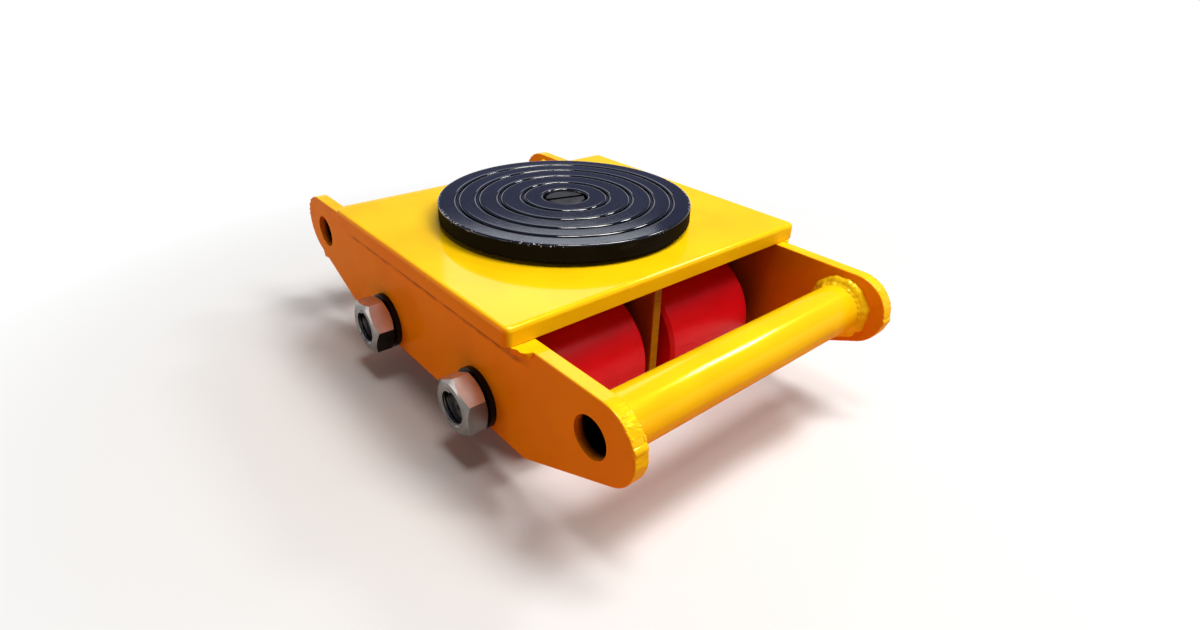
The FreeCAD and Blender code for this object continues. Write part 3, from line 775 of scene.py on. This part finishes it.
def disc_enamel(tree):
    radius = from_pivot(tree)
    near_rim = between(tree, radius, *CHIP_RADII)
    near_top = between(tree, coordinates(tree)["Z"], *CHIP_HEIGHTS)
    flakes = between(tree, grain(tree, *CHIP_FLAKES), *CHIP_FLAKE_RANGE)
    patches = between(tree, grain(tree, *CHIP_PATCHES), *CHIP_PATCH_RANGE)
    chips = product(tree, near_rim, near_top, flakes, patches)
    smears = between(tree, grain(tree, *DISC_SMEARS), *DISC_SMEAR_RANGE)
    turning = product(tree, rings(tree, radius, TURNING_PITCH), grain(tree, *TURNING_PATCHES))
    normal = bumped(tree, turning, TURNING_DEPTH)
    normal = bumped(tree, grain(tree, *DISC_PEEL), PEEL_DEPTH, DISC_PEEL_STRENGTH, normal)
    normal = bumped(tree, product(tree, chips, -1.0), CHIP_DEPTH, 1.0, normal)
    return {
        "Base Color": mixed(tree, chips, shades(tree, smears, DISC_BLACK, DISC_GREY), CHIP_GREY),
        "Roughness": clouds(tree, *DISC_DULLNESS, *DISC_ROUGHNESS),
        "Specular IOR Level": 0.0,
        "Coat Weight": between(tree, facing(tree)["Z"], *LAND_FACING, RIM_COAT, LAND_COAT),
        "Coat Roughness": DISC_COAT_ROUGHNESS,
        "Coat IOR": DISC_COAT_IOR,
        "Normal": normal,
        "Coat Normal": normal,
    }


# Red cast rollers, with faint marks round them
ROLLER_DEEP = (0.58, 0.002, 0.008)
ROLLER_LIGHT = (0.70, 0.004, 0.012)
ROLLER_CLOUDS = (30, 3)
ROLLER_MARKS = (60, 4)
ROLLER_MARK_STRETCH = (0.15, 6, 0.15)
ROLLER_MARK_DEPTH = 0.05 * MM
ROLLER_MARK_STRENGTH = 0.35
ROLLER_SKIN = (380, 2)
ROLLER_SKIN_STRENGTH = 0.3
ROLLER_ROUGHNESS = (0.26, 0.42)
ROLLER_GLOSS = 0.22
ROLLER_GLOSS_TINT = (1.0, 0.75, 0.8)


def roller_red(tree):
    marks = grain(tree, *ROLLER_MARKS, ROLLER_MARK_STRETCH)
    normal = bumped(tree, marks, ROLLER_MARK_DEPTH, ROLLER_MARK_STRENGTH)
    normal = bumped(tree, grain(tree, *ROLLER_SKIN), PEEL_DEPTH, ROLLER_SKIN_STRENGTH, normal)
    return {
        "Base Color": shades(tree, clouds(tree, *ROLLER_CLOUDS), ROLLER_DEEP, ROLLER_LIGHT),
        "Roughness": between(tree, marks, NOISE_LOW, NOISE_HIGH, *ROLLER_ROUGHNESS),
        "Specular IOR Level": ROLLER_GLOSS,
        "Specular Tint": ROLLER_GLOSS_TINT,
        "Normal": normal,
    }


# Bare and plated metals: a colour that clouds a little, and turning marks round the axle
METAL_CLOUDS = (70, 4)
METAL_WEAR = (160, 4)
METAL_GRAIN = (450, 3)
METAL_GRAIN_DEPTH = 0.04 * MM
METAL_GRAIN_STRENGTH = 0.4
LATHE_PITCH = 0.6 * MM


def metal_grain(tree, marks):
    """The surface of a metal, with turning marks of a depth round the axle."""
    normal = bumped(tree, grain(tree, *METAL_GRAIN), METAL_GRAIN_DEPTH, METAL_GRAIN_STRENGTH)
    if marks:
        normal = bumped(tree, rings(tree, from_axle(tree), LATHE_PITCH), marks, 1.0, normal)
    return normal


def metal(dark, light, roughness, marks=0.0):
    def build(tree):
        return {
            "Base Color": shades(tree, clouds(tree, *METAL_CLOUDS), dark, light),
            "Metallic": 1.0,
            "Roughness": clouds(tree, *METAL_WEAR, *roughness),
            "Normal": metal_grain(tree, marks),
        }
    return build


# Plated nuts: the flats are paler and duller than the turned faces, whose darker colour is painted shade,
# and the flats that face down are darkened with painted shade
NUT_FACE_DARK = (0.16, 0.148, 0.138)
NUT_FACE_LIGHT = (0.28, 0.26, 0.245)
NUT_FLAT_DARK = (0.54, 0.51, 0.47)
NUT_FLAT_LIGHT = (0.74, 0.70, 0.66)
NUT_UNDERSIDE_SHADE = (0.035, 0.026, 0.02)
NUT_FLAT_FACING = (0.5, 0.2)
NUT_UNDERSIDE_SHADE_FACING = (0.2, -0.15)
NUT_ROUGHNESS = (0.22, 0.40)
NUT_WEAR = (-0.06, 0.06)
NUT_MARKS = 0.004 * MM


def plated_nut(tree):
    face = facing(tree)
    flats = between(tree, size_of(tree, face["Y"]), *NUT_FLAT_FACING)
    # Flats that face down go near black, which is painted shade.
    shaded_below = product(tree, flats, between(tree, face["Z"], *NUT_UNDERSIDE_SHADE_FACING))
    cloud = clouds(tree, *METAL_CLOUDS)
    # Turned faces take a darker colour than the flats, which is painted shade.
    turned = shades(tree, cloud, NUT_FACE_DARK, NUT_FACE_LIGHT)
    plating = mixed(tree, flats, turned, shades(tree, cloud, NUT_FLAT_DARK, NUT_FLAT_LIGHT))
    dullness = between(tree, flats, 0.0, 1.0, *NUT_ROUGHNESS)
    return {
        "Base Color": mixed(tree, shaded_below, plating, NUT_UNDERSIDE_SHADE),
        "Metallic": 1.0,
        "Roughness": sums(tree, "ADD", dullness, clouds(tree, *METAL_WEAR, *NUT_WEAR)),
        "Normal": metal_grain(tree, NUT_MARKS),
    }


# Rubber seals, with moulded rings
SEAL_DARK = (0.010, 0.010, 0.010)
SEAL_LIGHT = (0.030, 0.030, 0.030)
SEAL_CLOUDS = (120, 3)
SEAL_DULLNESS = (300, 3)
SEAL_ROUGHNESS = (0.5, 0.7)
SEAL_PITCH = 1.6 * MM
SEAL_DEPTH = 0.08 * MM


def seal_rubber(tree):
    return {
        "Base Color": shades(tree, grain(tree, *SEAL_CLOUDS), SEAL_DARK, SEAL_LIGHT),
        "Roughness": clouds(tree, *SEAL_DULLNESS, *SEAL_ROUGHNESS),
        "Normal": bumped(tree, rings(tree, from_axle(tree), SEAL_PITCH), SEAL_DEPTH),
    }


BLACK_OXIDE = metal(dark=(0.010, 0.010, 0.010), light=(0.030, 0.028, 0.026), roughness=(0.32, 0.5))
TURNED_STEEL = metal(dark=(0.05, 0.045, 0.04), light=(0.11, 0.10, 0.09), roughness=(0.25, 0.42),
                     marks=0.01 * MM)
GROUND_STEEL = metal(dark=(0.50, 0.50, 0.50), light=(0.62, 0.62, 0.61), roughness=(0.10, 0.2),
                     marks=0.002 * MM)
PRESSED_STEEL = metal(dark=(0.36, 0.36, 0.35), light=(0.50, 0.49, 0.47), roughness=(0.25, 0.4))
PHOSPHATED_STEEL = metal(dark=(0.03, 0.03, 0.03), light=(0.07, 0.07, 0.065), roughness=(0.4, 0.55))
OILED_BRONZE = metal(dark=(0.36, 0.22, 0.07), light=(0.52, 0.34, 0.13), roughness=(0.22, 0.4))

# The finish of each material slot, and of the cut plates and the ring welds, which have their own
FINISHES = {
    "frame_paint": ("yellow_enamel", enamel()),
    "cut_plate": ("yellow_enamel_cut_plate", enamel(cut_plate=True)),
    "ring_weld": ("yellow_enamel_ring_weld", enamel(painted_side_shade=False)),
    "disc_paint": ("black_enamel", disc_enamel),
    "roller_red": ("red_urethane", roller_red),
    "plated_nut": ("bright_plating", plated_nut),
    "dark_steel": ("black_oxide", BLACK_OXIDE),
    "axle_steel": ("turned_steel", TURNED_STEEL),
    "bearing_steel": ("ground_steel", GROUND_STEEL),
    "cage_steel": ("pressed_steel", PRESSED_STEEL),
    "spring_steel": ("phosphated_steel", PHOSPHATED_STEEL),
    "bronze": ("oiled_bronze", OILED_BRONZE),
    "seal_rubber": ("seal_rubber", seal_rubber),
}
CUT_PLATES = ("left_side_plate", "right_side_plate", "centre_web")


def dress(made):
    """Gives every CAD node the finish of its record slot, or a cut plate's, and every new piece its own."""
    materials = {key: finish_of(name, build) for key, (name, build) in FINISHES.items()}
    for row in frame["record"]["subparts"]:
        piece = frame["nodes"][row["node"]]
        material = materials["cut_plate" if row["node"] in CUT_PLATES else row["material_slot"]]
        for holder in piece.material_slots:
            holder.material = material
    for piece, key in made:
        piece.data.materials.clear()
        piece.data.materials.append(materials[key])


# Camera, light and floor
def camera():
    right = Vector((math.cos(CAMERA_AZIMUTH), math.sin(CAMERA_AZIMUTH), 0))
    ahead = Vector((-math.sin(CAMERA_AZIMUTH), math.cos(CAMERA_AZIMUTH), 0))
    back = Vector((0, 0, 1)) * math.sin(CAMERA_ELEVATION) - ahead * math.cos(CAMERA_ELEVATION)
    up = back.cross(right)
    side = right * math.cos(CAMERA_ROLL) + up * math.sin(CAMERA_ROLL)
    head = up * math.cos(CAMERA_ROLL) - right * math.sin(CAMERA_ROLL)
    turned = Matrix((side, head, back)).transposed().to_4x4()
    bpy.ops.object.camera_add()
    seen_by = bpy.context.object
    seen_by.matrix_world = Matrix.Translation(CAMERA_AIM + back * CAMERA_DISTANCE) @ turned
    seen_by.data.sensor_fit = "HORIZONTAL"
    seen_by.data.sensor_width = CAMERA_SENSOR
    seen_by.data.lens = CAMERA_LENS
    seen_by.data.clip_start = CAMERA_NEAR
    seen_by.data.clip_end = CAMERA_FAR
    bpy.context.scene.camera = seen_by


def softbox(name, direction, distance, width, height, power, colour):
    """A lamp that faces the middle of the skate, in metres and watts."""
    aim = (cad_box[0] + cad_box[1]) / 2
    bpy.ops.object.light_add(type="AREA")
    lamp = bpy.context.object
    lamp.name = name
    lamp.location = aim + Vector(direction).normalized() * distance
    lamp.rotation_euler = (aim - lamp.location).to_track_quat("-Z", "Y").to_euler()
    lamp.data.shape = "RECTANGLE"
    lamp.data.size = width
    lamp.data.size_y = height
    lamp.data.energy = power
    lamp.data.color = colour


def softboxes():
    softbox("overhead", direction=(0.19, 0.21, 0.96), distance=1.2,
            width=0.30, height=0.30, power=3.2, colour=(1.0, 0.99, 0.97))
    softbox("overhead_strip", direction=(0.19, 0.21, 0.96), distance=1.15,
            width=0.06, height=0.6, power=3.6, colour=(1.0, 0.99, 0.97))
    softbox("overhead_right", direction=(0.20, -0.11, 0.97), distance=1.2,
            width=0.25, height=0.25, power=4.0, colour=(1.0, 0.98, 0.96))
    softbox("back_right", direction=(0.22, 0.67, 0.71), distance=1.4,
            width=0.22, height=0.22, power=4.5, colour=(0.97, 0.98, 1.0))
    softbox("back_window", direction=(-0.648, 0.486, 0.587), distance=1.5,
            width=0.6, height=0.6, power=1.7, colour=(0.90, 0.95, 1.0))
    softbox("front", direction=(0.50, 0.28, 0.82), distance=1.4,
            width=0.4, height=0.4, power=9.0, colour=(1.0, 0.97, 0.93))
    softbox("side_wall", direction=(-0.42, -0.90, 0.10), distance=0.72,
            width=0.3, height=0.3, power=0.6, colour=(1.0, 0.98, 0.95))
    softbox("side_strip", direction=(0.0, -0.985, 0.16), distance=1.2,
            width=0.16, height=0.16, power=0.45, colour=(1.0, 1.0, 1.0))


def seen_directly(tree):
    """1 for rays from the camera, a mirror or a glass, and 0 for those that only light the object."""
    path = add(tree, "ShaderNodeLightPath").outputs
    either = sums(tree, "MAXIMUM", path["Is Camera Ray"], path["Is Glossy Ray"])
    return sums(tree, "MAXIMUM", either, path["Is Transmission Ray"])


# Studio: white walls under a dim ceiling, and a pale floor that fades into white
WHITE = (1, 1, 1)
CEILING = (0.12, 0.135, 0.25)
CEILING_EDGE = (0.17, 0.27)
AMBIENT = (1.0, 0.93, 0.86)
AMBIENT_STRENGTH = 0.08
FLOOR_COLOUR = (0.74, 0.73, 0.72)
FLOOR_BOUNCE = (0.70, 0.28, 0.07)
FLOOR_RADIUS = 12.0
FLOOR_CORNERS = 96
FLOOR_FADE = (0.17, 0.40)


def backdrop():
    """White walls under a dim ceiling for what is seen or mirrored, and a low even light on the object."""
    world = bpy.data.worlds.new("studio")
    bpy.context.scene.world = world
    world.use_nodes = True
    tree = world.node_tree
    tree.nodes.clear()
    walls = mixed(tree, between(tree, coordinates(tree)["Z"], *CEILING_EDGE), WHITE, CEILING)
    dim = add(tree, "ShaderNodeBackground", {"Color": AMBIENT, "Strength": AMBIENT_STRENGTH})
    room = add(tree, "ShaderNodeBackground", {"Color": walls, "Strength": 1.0})
    shaders = {0: seen_directly(tree), 1: dim.outputs[0], 2: room.outputs[0]}
    mix = add(tree, "ShaderNodeMixShader", shaders)
    add(tree, "ShaderNodeOutputWorld", {"Surface": mix.outputs[0]})


def floor():
    """A matt floor that keeps the shadow and fades into white further out."""
    deselect()
    bpy.ops.mesh.primitive_circle_add(vertices=FLOOR_CORNERS, radius=FLOOR_RADIUS, fill_type="NGON")
    ground = bpy.context.object
    ground.name = "floor"
    material = bpy.data.materials.new("pale_floor")
    material.use_nodes = True
    tree = material.node_tree
    tree.nodes.clear()
    seen = seen_directly(tree)
    matt = add(tree, "ShaderNodeBsdfDiffuse", {"Color": mixed(tree, seen, FLOOR_BOUNCE, FLOOR_COLOUR)})
    bright = add(tree, "ShaderNodeEmission", {"Color": WHITE, "Strength": 1.0})
    share = product(tree, between(tree, from_pivot(tree), *FLOOR_FADE), seen)
    mix = add(tree, "ShaderNodeMixShader", {0: share, 1: matt.outputs[0], 2: bright.outputs[0]})
    add(tree, "ShaderNodeOutputMaterial", {"Surface": mix.outputs[0]})
    ground.data.materials.append(material)


dress([
    (plate_seams(), "frame_paint"),
    (tube_rings(), "ring_weld"),
    (ear_steps(), "frame_paint"),
    (ear_rims(), "frame_paint"),
    (turned_disc(), "disc_paint"),
    (nut_threads(), "plated_nut"),
])
camera()
softboxes()
backdrop()
floor()
bpy.context.scene.view_settings.view_transform = "Standard"
